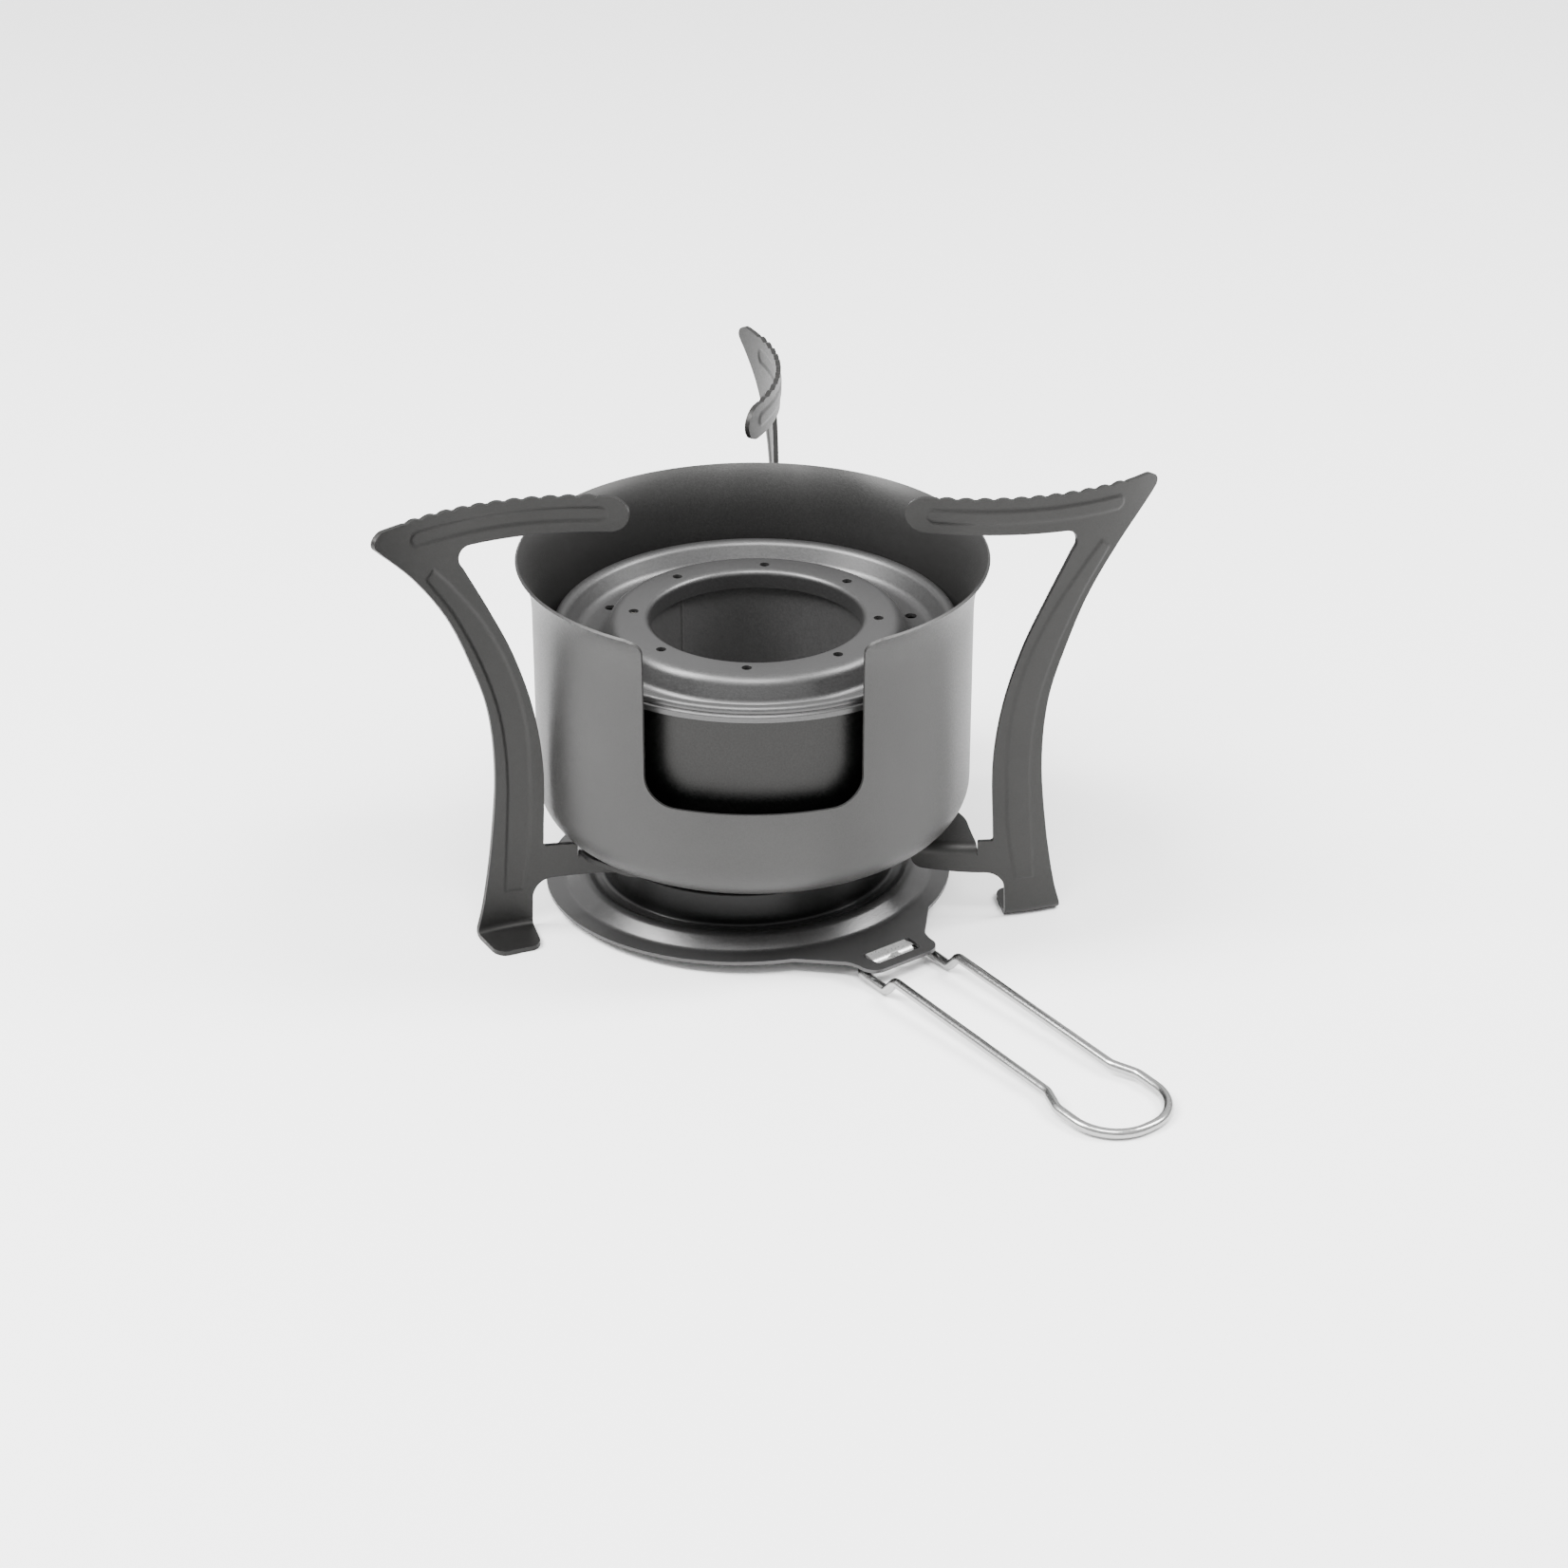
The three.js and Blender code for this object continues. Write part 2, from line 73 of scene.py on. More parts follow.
DOME_R, DOME_H, RIM_JOIN = 28.5, 9.1, 37.8
TAB_U, TAB_V = 38.2, 14.6                   # where the tab's flank leaves the lid's rim
CURL_T = 0.5
KINK_H, HANDLE_LENGTH = 3.1, 72.5
LID_DX, LID_DY, HINGE_Z = -1.2, 3.5, 1.6    # lid's centre off the cup's axis, and its hinge's height
LID_TILT = atan2(HINGE_Z - BARREL_Z, LID_R + BARREL_U)
CUP_GRID = (radians(1.5), 1.1)              # steps of the sheets' fine grids
LEG_GRID = (0.3, 0.34)


# ---- curves in the plane ------------------------------------------------------------
def fillet(points, closed=False, step=6):
    """Corner points (x, y, radius) as a fine polyline with those corners rounded."""
    out, n = [], len(points)
    for i, p in enumerate(points):
        r = p[2] if len(p) > 2 else 0
        c = Vector(p[:2])
        if not r or (not closed and i in (0, n - 1)):
            out.append(c)
            continue
        u = (Vector(points[i - 1][:2]) - c).normalized()
        v = (Vector(points[(i + 1) % n][:2]) - c).normalized()
        half = u.angle(v) / 2
        mid = c + (u + v).normalized() * (r / sin(half))
        s, e = c + u * (r / tan(half)), c + v * (r / tan(half))
        a0 = atan2(s.y - mid.y, s.x - mid.x)
        turn = (atan2(e.y - mid.y, e.x - mid.x) - a0 + pi) % (2 * pi) - pi
        k = max(2, ceil(abs(turn) / radians(step)))
        out += [mid + Vector((cos(a0 + turn * j / k), sin(a0 + turn * j / k))) * r for j in range(k + 1)]
    return out


def spline(points, per=8):
    """Smooth curve through the points."""
    p = [Vector(q) for q in points]
    p = [2 * p[0] - p[1]] + p + [2 * p[-1] - p[-2]]
    out = []
    for i in range(1, len(p) - 2):
        for j in range(per):
            t = j / per
            out.append(0.5 * (2 * p[i] + (p[i + 1] - p[i - 1]) * t
                              + (2 * p[i - 1] - 5 * p[i] + 4 * p[i + 1] - p[i + 2]) * t * t
                              + (3 * p[i] - p[i - 1] - 3 * p[i + 1] + p[i + 2]) * t ** 3))
    return out + [p[-2]]


def thick(line, t):
    """Closed profile of a sheet of thickness t to the right of the line, or to its left where t < 0."""
    back, n = [], len(line)
    for i, p in enumerate(line):
        d = (p - line[i - 1]) if i else (line[1] - p)
        e = (line[i + 1] - p) if i < n - 1 else (p - line[i - 1])
        d, e = d.normalized(), e.normalized()
        m = Vector((d.y + e.y, -d.x - e.x)).normalized()
        q = p + m * (t / max(m.dot(Vector((d.y, -d.x))), 0.5))
        back.append(Vector((0, q.y)) if p.x == 0 else q)
    return list(line) + back[::-1]


# ---- meshes -------------------------------------------------------------------------
def lathe(profile, seg=240, closed=True, bm=None):
    """Profile (radius, height) turned round the Z axis; closed joins its last point to its first."""
    bm = bm or bmesh.new()
    rings = []
    for p in profile:
        if p[0] < 1e-6:
            rings.append([bm.verts.new((0, 0, p[1] * MM))])
        else:
            rings.append([bm.verts.new((p[0] * MM * cos(a), p[0] * MM * sin(a), p[1] * MM))
                          for a in (2 * pi * i / seg for i in range(seg))])
    nxt = rings[1:] + rings[:1] if closed else rings[1:]
    for a, b in zip(rings, nxt):
        if len(a) == len(b) == 1:
            continue
        for i in range(seg):
            j = (i + 1) % seg
            loop = [a[i % len(a)], a[j % len(a)], b[j % len(b)], b[i % len(b)]]
            bm.faces.new(list(dict.fromkeys(loop)))
    return bm


def add_caps(bm, loops, heights):
    """Outlines with holes, filled flat at each height."""
    for z in heights:
        edges = []
        for loop in loops:
            v = [bm.verts.new((p[0] * MM, p[1] * MM, z * MM)) for p in loop]
            edges += [bm.edges.new(e) for e in zip(v, v[1:] + v[:1])]
        bmesh.ops.triangle_fill(bm, use_beauty=True, edges=edges)


def add_walls(bm, loops, z0, z1):
    """Upright walls on the outlines, from z0 to z1."""
    for loop in loops:
        a, b = ([bm.verts.new((p[0] * MM, p[1] * MM, z * MM)) for p in loop] for z in (z0, z1))
        add_band(bm, a, b)


def add_band(bm, a, b):
    """Faces between two rings of vertices."""
    for i in range(len(a)):
        j = (i + 1) % len(a)
        bm.faces.new((a[i], a[j], b[j], b[i]))


def wrapped(outline, du, dw, place, t, open_edge=lambda p: True):
    """A flat outline cut into a fine grid, given two skins by place(u, w, h) and closed round its edge."""
    flat = bmesh.new()
    flat.faces.new([flat.verts.new((p[0], p[1], 0)) for p in outline])
    for axis, step in ((0, du), (1, dw)):
        lo, hi = min(p[axis] for p in outline), max(p[axis] for p in outline)
        for i in range(1, ceil((hi - lo) / step)):
            co = [0, 0, 0]
            co[axis] = lo + i * (hi - lo) / ceil((hi - lo) / step)
            no = [0, 0, 0]
            no[axis] = 1
            bmesh.ops.bisect_plane(flat, geom=flat.verts[:] + flat.edges[:] + flat.faces[:],
                                   plane_co=co, plane_no=no, dist=1e-5)
    bm = bmesh.new()
    skins = [{v: bm.verts.new(place(v.co.x, v.co.y, h) * MM) for v in flat.verts} for h in (t / 2, -t / 2)]
    for f in flat.faces:
        bm.faces.new([skins[0][v] for v in f.verts])
        bm.faces.new([skins[1][v] for v in reversed(f.verts)])
    for e in flat.edges:
        if e.is_boundary and open_edge((e.verts[0].co + e.verts[1].co) / 2):
            a, b = e.verts
            bm.faces.new((skins[0][a], skins[1][a], skins[1][b], skins[0][b]))
    flat.free()
    bmesh.ops.remove_doubles(bm, verts=bm.verts, dist=2e-6)
    return bm


def tube(points, r, sides):
    """Round wire along a 3-D polyline, with flat ends."""
    bm = bmesh.new()
    rings, up = [], None
    for i, p in enumerate(points):
        d = (points[min(i + 1, len(points) - 1)] - points[max(i - 1, 0)]).normalized()
        up = (up - d * up.dot(d)).normalized() if up else d.orthogonal().normalized()
        side = d.cross(up)
        rings.append([bm.verts.new((p + (up * cos(a) + side * sin(a)) * r) * MM)
                      for a in (2 * pi * k / sides for k in range(sides))])
    for a, b in zip(rings, rings[1:]):
        add_band(bm, a, b)
    bm.faces.new(rings[0])
    bm.faces.new(rings[-1])
    return bm


def bend3(corners):
    """3-D corners (x, y, z, radius) as a fine polyline with rounded corners."""
    out = []
    for i, (x, y, z, r) in enumerate(corners):
        p = Vector((x, y, z))
        if not r:
            out.append(p)
            continue
        u = (Vector(corners[i - 1][:3]) - p).normalized()
        v = (Vector(corners[i + 1][:3]) - p).normalized()
        half = u.angle(v) / 2
        d = r / tan(half)
        mid = p + (u + v).normalized() * (r / sin(half))
        s, e = p + u * d - mid, p + v * d - mid
        turn = s.angle(e)
        k = max(3, ceil(degrees(turn) / 8))
        for j in range(k + 1):
            f = j / k
            out.append(mid + (s * sin((1 - f) * turn) + e * sin(f * turn)) / sin(turn))
    return out


def cut(bm, cutters):
    """bm with every cutter bmesh taken away."""
    base, objects = bpy.data.meshes.new("base"), []
    for m, me in [(bm, base)] + [(c, bpy.data.meshes.new("cutter")) for c in cutters]:
        bmesh.ops.recalc_face_normals(m, faces=m.faces)
        m.to_mesh(me)
        m.free()
        o = bpy.data.objects.new(me.name, me)
        bpy.context.scene.collection.objects.link(o)
        objects.append(o)
    for c in objects[1:]:
        mod = objects[0].modifiers.new("cut", "BOOLEAN")
        mod.object, mod.operation, mod.solver = c, "DIFFERENCE", "EXACT"
    out = bmesh.new()
    out.from_object(objects[0], bpy.context.evaluated_depsgraph_get())
    for o in objects:
        me = o.data
        bpy.data.objects.remove(o)
        bpy.data.meshes.remove(me)
    return out


def piece(name, bm, node, body, material, at, bevel=0.12):
    """One visible object: placed by at, its edges rounded by bevel mm, riding its body for its CAD node."""
    bmesh.ops.recalc_face_normals(bm, faces=bm.faces)
    me = bpy.data.meshes.new(name)
    bm.to_mesh(me)
    me.transform(at)
    me.materials.append(material)
    me.shade_smooth()
    o = bpy.data.objects.new(name, me)
    bpy.context.scene.collection.objects.link(o)
    if bevel:
        mod = o.modifiers.new("edges", "BEVEL")
        mod.width, mod.segments, mod.harden_normals = bevel * MM, 2, True
        mod.limit_method, mod.angle_limit = "ANGLE", radians(40)
    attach(o, body)
    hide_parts(node)
    return o


# ---- materials ------------------------------------------------------------------------
def metal(name, dark, light, rough, grain=0.5, metallic=1.0, shade_disc=None):
    """Blasted or drawn metal: slow tone change, fine speckle in colour and roughness, grain in the bump.
    Its last argument (x, y, radius, strength) is painted shade: it darkens the colour towards black, by
    strength, within that radius of a point of the plan."""
    m = bpy.data.materials.new(name)
    m.use_nodes = True
    t = m.node_tree
    shader = t.nodes["Principled BSDF"]
    shader.inputs["Metallic"].default_value = metallic

    def noise(scale, detail):
        n = t.nodes.new("ShaderNodeTexNoise")
        n.inputs["Scale"].default_value, n.inputs["Detail"].default_value = scale, detail
        t.links.new(coords.outputs["Object"], n.inputs["Vector"])
        return n.outputs["Fac"]

    def spread(socket, lo, hi, a, b):
        r = t.nodes.new("ShaderNodeMapRange")
        for key, v in (("From Min", lo), ("From Max", hi), ("To Min", a), ("To Max", b)):
            r.inputs[key].default_value = v
        t.links.new(socket, r.inputs["Value"])
        return r.outputs["Result"]

    coords = t.nodes.new("ShaderNodeTexCoord")
    slow, fine, speck = noise(28, 3), noise(2600, 3), noise(5200, 2)
    mix = t.nodes.new("ShaderNodeMath")
    mix.operation = "MULTIPLY_ADD"
    t.links.new(spread(slow, 0.3, 0.7, 0.15, 0.65), mix.inputs[0])
    mix.inputs[1].default_value = 1.0
    t.links.new(spread(fine, 0.3, 0.7, -0.15, 0.35), mix.inputs[2])
    ramp = t.nodes.new("ShaderNodeValToRGB")
    ramp.color_ramp.elements[0].color = (*dark, 1)
    ramp.color_ramp.elements[1].color = (*light, 1)
    t.links.new(mix.outputs["Value"], ramp.inputs["Fac"])
    color = ramp.outputs["Color"]
    # painted shade: blend the colour towards black inside the given radius, fading out over 0.6 mm past it
    if shade_disc:
        split, radius, shade_mix = (t.nodes.new("ShaderNode" + k) for k in ("VectorMath", "VectorMath", "Mix"))
        split.operation, radius.operation, shade_mix.data_type = "MULTIPLY", "DISTANCE", "RGBA"
        t.links.new(coords.outputs["Object"], split.inputs[0])
        split.inputs[1].default_value = (1, 1, 0)
        t.links.new(split.outputs["Vector"], radius.inputs[0])
        radius.inputs[1].default_value = (shade_disc[0], shade_disc[1], 0)
        shade_mask = spread(radius.outputs["Value"], shade_disc[2], shade_disc[2] + 0.6 * MM, shade_disc[3], 0)
        t.links.new(shade_mask, shade_mix.inputs["Factor"])
        t.links.new(color, shade_mix.inputs["A"])
        shade_mix.inputs["B"].default_value = (0, 0, 0, 1)
        color = shade_mix.outputs["Result"]
    t.links.new(color, shader.inputs["Base Color"])
    t.links.new(spread(fine, 0.3, 0.7, rough - 0.05, rough + 0.06), shader.inputs["Roughness"])
    bump = t.nodes.new("ShaderNodeBump")
    bump.inputs["Strength"].default_value, bump.inputs["Distance"].default_value = grain, 0.00004
    t.links.new(speck, bump.inputs["Height"])
    t.links.new(bump.outputs["Normal"], shader.inputs["Normal"])
    return m


LID_AT = AXIS @ Matrix.Translation((LID_DX * MM, LID_DY * MM, 0)) \
    @ Matrix.Rotation(radians(LID_AZ), 4, "Z") \
    @ Matrix.Translation((0, 0, LID_R * sin(LID_TILT) * MM)) @ Matrix.Rotation(-LID_TILT, 4, "Y")
# Painted shade for the lid: its dome, which stands in the cup's shadow, is darkened 85 % towards black out
# to just past its wall.
DOME_SHADE = (LID_AT.translation.x, LID_AT.translation.y, (DOME_R + 0.1) * MM, 0.85)
CUP_MAT = metal("blasted_titanium_cup", (0.0405, 0.04, 0.0394), (0.0535, 0.053, 0.0522), 0.46,
                metallic=0.76)
LEG_MAT = metal("blasted_titanium_leg", (0.023, 0.0227, 0.0221), (0.031, 0.0306, 0.0298), 0.46,
                metallic=0.76)
BURNER_MAT = metal("blasted_titanium_burner", (0.068, 0.0675, 0.0675), (0.095, 0.0945, 0.0945), 0.38,
                   metallic=0.8)
# Painted shade: the burner's body is given a darker colour than its crown to stand for the shade it stands
# in inside the cup.
SHADED_BODY_MAT = metal("blasted_titanium_body_painted_shade", (0.026, 0.0257, 0.0253), (0.037, 0.0366, 0.036), 0.36)
SLEEVE_MAT = metal("blasted_titanium_sleeve", (0.15, 0.148, 0.148), (0.21, 0.208, 0.208), 0.42,
                   metallic=0.85)
LID_MAT = metal("blasted_titanium_lid_painted_dome_shade", (0.058, 0.0575, 0.0575), (0.078, 0.0775, 0.0775), 0.33,
                metallic=0.7, shade_disc=DOME_SHADE)
# Painted light: the curl is the lid's own sheet, given a much lighter colour than the lid to stand for the
# light it catches.
LIT_CURL_MAT = metal("titanium_curl_painted_light", (0.34, 0.34, 0.337), (0.44, 0.44, 0.435), 0.3, metallic=0.6)
STEEL_MAT = metal("polished_steel_wire", (0.3, 0.3, 0.297), (0.4, 0.4, 0.396), 0.22, grain=0.12)
RIVET_MAT = metal("steel_rivet", (0.24, 0.24, 0.235), (0.36, 0.36, 0.35), 0.3, grain=0.2)
FELT_MAT = metal("carbon_felt", (0.55, 0.53, 0.47), (0.8, 0.78, 0.71), 0.9, grain=1.0, metallic=0.0)


# ---- windscreen cup ---------------------------------------------------------------------
def cup():
    """Sheet wrapped round the cup's profile, with the notch cut from its flat pattern."""
    rise = fillet([(0, CUP_Z), (CUP_R, CUP_Z, 8), (CUP_R, FLARE_Z)], step=5)
    flare = spline([(CUP_R, FLARE_Z), (CUP_R + 0.12, 63.4), (CUP_R + 0.5, 65.8), (CUP_R + 1.2, 68),
                    (CUP_R + 2.1, 69.8), (CUP_RIM_R, CUP_TOP)], 6)
    line = rise[:-1] + flare
    run = [0.0]
    for a, b in zip(line, line[1:]):
        run.append(run[-1] + (b - a).length)

    def at(w):
        i = max(k for k in range(len(run)) if run[k] <= w + 1e-6)
        i = min(i, len(run) - 2)
        f = (w - run[i]) / (run[i + 1] - run[i])
        return line[i].lerp(line[i + 1], f), (line[i + 1] - line[i]).normalized()

    def place(u, w, h):
        p, d = at(min(max(w, 0), run[-1]))
        q = p + Vector((-d.y, d.x)) * (CUP_T / 2 - h)
        r = max(q.x, 0) if w > 1e-6 else 0
        return Vector((r * sin(u), -r * cos(u), q.y))

    def w_at(z):
        i = max(k for k in range(len(line) - 1) if line[k].y <= z)
        return run[i] + (z - line[i].y) / (line[i + 1].y - line[i].y) * (run[i + 1] - run[i])

    # outline in (angle, run along the profile); the notch is drawn in the front view, so x = r sin(angle)
    half, top = NOTCH_HALF, run[-1]
    side = fillet([(half + 6, CUP_TOP + 0.25), (half, CUP_TOP - 0.6, 2.6),
                   (half, NOTCH_Z, NOTCH_CORNER), (0, NOTCH_Z)])
    side = [p for p in side if p.y < CUP_TOP - 0.02]
    dense = []
    for a, b in zip(side, side[1:]):
        k = max(1, ceil((b - a).length / 0.8))
        dense += [a.lerp(b, j / k) for j in range(k)]
    dense.append(side[-1])

    def flat(p, s):
        w = w_at(p.y)
        return Vector((s * asin(p.x / at(w)[0].x), w))

    right = [flat(p, 1) for p in dense]
    left = [flat(p, -1) for p in dense[-2::-1]]
    outline = [Vector((-pi, 0)), Vector((pi, 0)), Vector((pi, top)), Vector((right[0].x + 0.02, top))]
    outline += right + left + [Vector((left[-1].x - 0.02, top)), Vector((-pi, top))]
    return wrapped(outline, *CUP_GRID, place, CUP_T,
                   lambda p: abs(p.x) < pi - 1e-4 and p.y > 1e-4)


piece("windscreen_shell", cup(), "windscreen_cup", "windscreen", CUP_MAT, AXIS, bevel=0.15)


# ---- legs ---------------------------------------------------------------------------------
FOOT_Z = LEG_T / 2 + BEND                   # where the foot's bend meets the upright
ARM_Z = FLANGE_TOP - LEG_T / 2 - BEND       # where the flange's bend starts
QUARTER = BEND * pi / 2


def on_leg(u, w, h, root):
    """Flat pattern to the bent leg: an arc in plan, its foot and flange turned to the hollow side."""
    e = Vector((u / LEG_R, -(1 - (u / LEG_R) ** 2) ** 0.5))
    inward, z, out, up = 0.0, w, 1.0, 0.0
    if w < FOOT_Z:
        b = min((FOOT_Z - w) / BEND, pi / 2)
        inward, z = BEND * (1 - cos(b)) + max(FOOT_Z - QUARTER - w, 0), FOOT_Z - BEND * sin(b)
        out, up = cos(b), -sin(b)
    elif ARM_Z < w < 60 and u < root:
        b = min((w - ARM_Z) / BEND, pi / 2)
        inward, z = BEND * (1 - cos(b)) + max(w - ARM_Z - QUARTER, 0), ARM_Z + BEND * sin(b)
        out, up = cos(b), sin(b)
    else:
        h += press(Vector((u, w)))
    xy = ARC + e * (LEG_R - inward + h * out)
    return Vector((xy.x, xy.y + LEG_LEAN * (LEG_TOP - z), z + h * up))


def flange_flat(x, y):
    """Plan point of the flange as a point of the flat pattern."""
    d = Vector((x, y - LEG_LEAN * (LEG_TOP - FLANGE_TOP))) - ARC
    return Vector((LEG_R * d.x / d.length, ARM_Z + QUARTER + (LEG_R - d.length) - BEND))


def inside_distance(p, loop):
    """Distance from p to the loop, negative outside it."""
    best, inside = 1e9, False
    for a, b in zip(loop, loop[1:] + loop[:1]):
        ab, ap = b - a, p - a
        f = max(0, min(1, ap.dot(ab) / max(ab.length_squared, 1e-9)))
        best = min(best, (ap - ab * f).length)
        if (a.y > p.y) != (b.y > p.y) and p.x < a.x + (p.y - a.y) / (b.y - a.y) * (b.x - a.x):
            inside = not inside
    return best if inside else -best


def half_circle(x, y, r, start):
    """Ten points round a half circle, from the azimuth start in degrees."""
    return [Vector((x + r * cos(a), y + r * sin(a))) for a in (radians(start + 20 * i) for i in range(10))]


COLUMN_RIB = spline([(0.8, 8.6), (-0.2, 22), (-0.8, 34), (0.2, 46), (3.3, 57), (8.2, 68),
                     (13.6, 76.6)], 4) \
    + spline([(12, 78.2), (8.2, 73.6), (2.6, 65.5), (-2.2, 55), (-4.7, 44), (-5.2, 33), (-4.6, 20),
              (-2.8, 8.6)], 4)
SUPPORT_RIB = half_circle(15, 85.1, 1.35, -90) + half_circle(-19.5, 85.4, 1.25, 90)


def press(p):
    """How far the pressed ribs stand out of the plate."""
    if p.y < 7 or (p.y < 80 and not -6.5 < p.x < 15):
        return 0.0
    d = inside_distance(p, SUPPORT_RIB if p.y > 82.6 else COLUMN_RIB)
    s = max(0, min(1, d / RIB_EDGE + 0.5))
    return RIB_H * s * s * (3 - 2 * s)


# plan of the flange round its rivet; the left leg's is cut back to a lobe
LOBE = [(-5.2, 4.4, 5.5), (-6.2, -4.6, 4.5), (1.5, -5.2)]
FLANGE = [(13.4, -9.6), (14.5, 1.6, 9), (13.6, 5.3, 1.8), (3.4, 6.1, 6)] + LOBE
FLANGE_CUT = [(9.9, -8.6), (9.5, -3.8, 7), (6.9, 0.3, 9), (3.4, 5.8, 4.5)] + LOBE


def serration(first, pitch, count, per):
    """Row of low scallops along the pot rest, from the tip inwards."""
    valley, rise = 88.35, 0.62
    out, x = [], first
    for i in range(count):
        for j in range(per):
            f = (j + 0.5) / per
            out.append(Vector((x - pitch * f, valley + rise * sin(pi * f) ** 0.7)))
        x -= pitch
    return out


def leg(plan):
    """Flat pattern of a leg, gridded, bent, and bored for its rivet."""
    outer = spline([(FOOT_OUT, 1.2), (4.9, 8), (2.9, 20), (1.6, 34), (2.4, 47), (5.6, 58), (9.8, 68),
                    (16, 77.2), (23.3, 85.2)], 9)
    tip = fillet([(23.3, 85.2), (25.1, 87.2, 1.6), (22.6, 88.85, 2.0), (17.6, 88.7)])[1:]
    crest = serration(17.15, 3.3, 11, 8)
    end = fillet([(-19.3, 88.8), (-24.35, 88.8, 3.4), (-24.35, 82, 3.4), (-10, 81.8),
                  (8.9, 81.3, 2.4), (6, 77)])
    inner = spline([(6, 77), (1.2, 67.5), (-3, 58), (-6.3, 46.5), (-7.8, 34), (-7.3, 18.8)], 9)
    flange = [flange_flat(*p) for p in fillet(plan)]
    root = flange[0].x + 0.05
    throat = fillet([(-7.3, 18.8), (-7.2, THROAT_Z, 0.5), (root, THROAT_Z, 0.3), (root, ARM_Z)])[1:]
    flange = [Vector((root - 0.1, ARM_Z))] + [p for p in flange if p.y > ARM_Z - 0.01]
    close = fillet([(-22, ARM_Z), (-22, 11.2, 2.2), (-12, 10.5), (-4.9, 10.2, 4.2), (FOOT_IN, 1.2)])
    foot_end = FOOT_Z - QUARTER - (FOOT_LENGTH - BEND)
    foot = fillet([(FOOT_IN, 1.2), (FOOT_IN, foot_end, 2.8), (FOOT_OUT, foot_end, 2.8),
                   (FOOT_OUT, 1.2)])[1:-1]
    outline = outer + tip + crest + end + inner[1:] + throat + flange + close + foot
    clean = [p for i, p in enumerate(outline) if (p - outline[i - 1]).length > 0.03]
    bm = wrapped(clean, *LEG_GRID, lambda u, w, h: on_leg(u, w, h, root), LEG_T)
    hole = lathe([(0, 12), (RIVET_R + 0.1, 12), (RIVET_R + 0.1, 20), (0, 20)], 48)
    return cut(bm, [hole])


def washer(z0):
    """Flat ring standing on z0, with small chamfers."""
    r0, r1, z1, e = WASHER_IN, WASHER_OUT, z0 + WASHER_T, 0.12
    return lathe([(r0, z0 + e), (r0 + e, z0), (r1 - e, z0), (r1, z0 + e),
                  (r1, z1 - e), (r1 - e, z1), (r0 + e, z1), (r0, z1 - e)], 72)


def rivet():
    """Domed head under the flange, shank, and flat upset end inside the cup."""
    low, high = FLANGE_TOP - LEG_T - GAP, CUP_FLOOR + GAP + WASHER_T + GAP
    dome = [(0, low - 1.1), (1.2, low - 1.05), (2.2, low - 0.86), (2.9, low - 0.5),
            (3.16, low - 0.14), (3.1, low)]
    upset = [(2.9, high), (2.86, high + 0.3), (2.5, high + 0.62), (0, high + 0.7)]
    return lathe(dome + [(RIVET_R, low), (RIVET_R, high)] + upset, 72)


LEG, LEG_CUT = leg(FLANGE), leg(FLANGE_CUT)
for side, azimuth in LEG_AZ.items():
    pos = joint[f"leg_{side}_swing"]["pos_m"]
    here = Matrix.Translation((pos[0], pos[1], 0)) @ Matrix.Rotation(radians(azimuth), 4, "Z")
    plate = LEG_CUT if side == "left" else LEG
    piece(f"leg_plate_{side}", plate.copy(), f"leg_{side}", f"leg_{side}", LEG_MAT,
          here, bevel=0.14)
    for name, shape, node in (("rivet", rivet(), "pivot_rivet"),
                              ("spacer", washer(FLANGE_TOP + GAP), "leg_washer"),
                              ("inner_washer", washer(CUP_FLOOR + GAP), "backing_washer")):
        piece(f"{name}_{side}", shape, f"{node}_{side}", "windscreen", RIVET_MAT, here, bevel=0)


# ---- burner ---------------------------------------------------------------------------------
def burner_shell():
    """Body: a plain pot of thin sheet."""
    line = fillet([(0, BODY_Z), (BODY_R, BODY_Z, 3), (BODY_R, 50.6), (BODY_R, COLLAR_Z - 4.4)], step=8)
    return lathe(thick(line, -BODY_T))


def burner_top():
    """Rolled seam, gutter and collar in one sheet, bored for the jets and the drains."""
    z = COLLAR_Z
    line = fillet([(SEAM_R, z - 3.8), (SEAM_R, z - 2.75, 0.3), (SEAM_R - 0.45, z - 2.35, 0.2),
                   (SEAM_R - 0.1, z - 1.9, 0.2), (SEAM_R - 0.2, z - 0.85, 0.9), (36.6, z - 0.8, 1.6),
                   (34.4, z - 5, 2.2), (29.6, z - 5, 1.8), (27.6, z, 2.6), (MOUTH_R, z, 1.1),
                   (MOUTH_R, z - 3.7)], step=9)
    body = lathe(thick(line, -TOP_T))
    holes = []
    for n, r, ring, first, below in (JETS, DRAINS):
        z0 = z - below
        for i in range(n):
            a = radians(first + 360 * i / n)
            h = lathe([(0, z0), (r, z0), (r, z0 + 5), (0, z0 + 5)], 32)
            bmesh.ops.translate(h, verts=h.verts, vec=(ring * cos(a) * MM, ring * sin(a) * MM, 0))
            holes.append(h)
    return cut(body, holes)


def sleeve():
    """Plain tube with a weld bead up its far left side."""
    z0, z1 = BODY_Z + 1.1, COLLAR_Z - 1.2
    bead_half_angle, bead_height = 0.6, 0.2 * MM
    bm = lathe([(SLEEVE_IN, z0), (SLEEVE_OUT, z0), (SLEEVE_OUT, z1), (SLEEVE_IN, z1)], 720)
    for v in bm.verts:
        r, a = v.co.xy.length, degrees(atan2(v.co.y, v.co.x))
        if abs(a - SEAM_AZ) < bead_half_angle and r < (SLEEVE_IN + SLEEVE_OUT) / 2 * MM:
            v.co.xy *= (r - bead_height) / r
    return bm


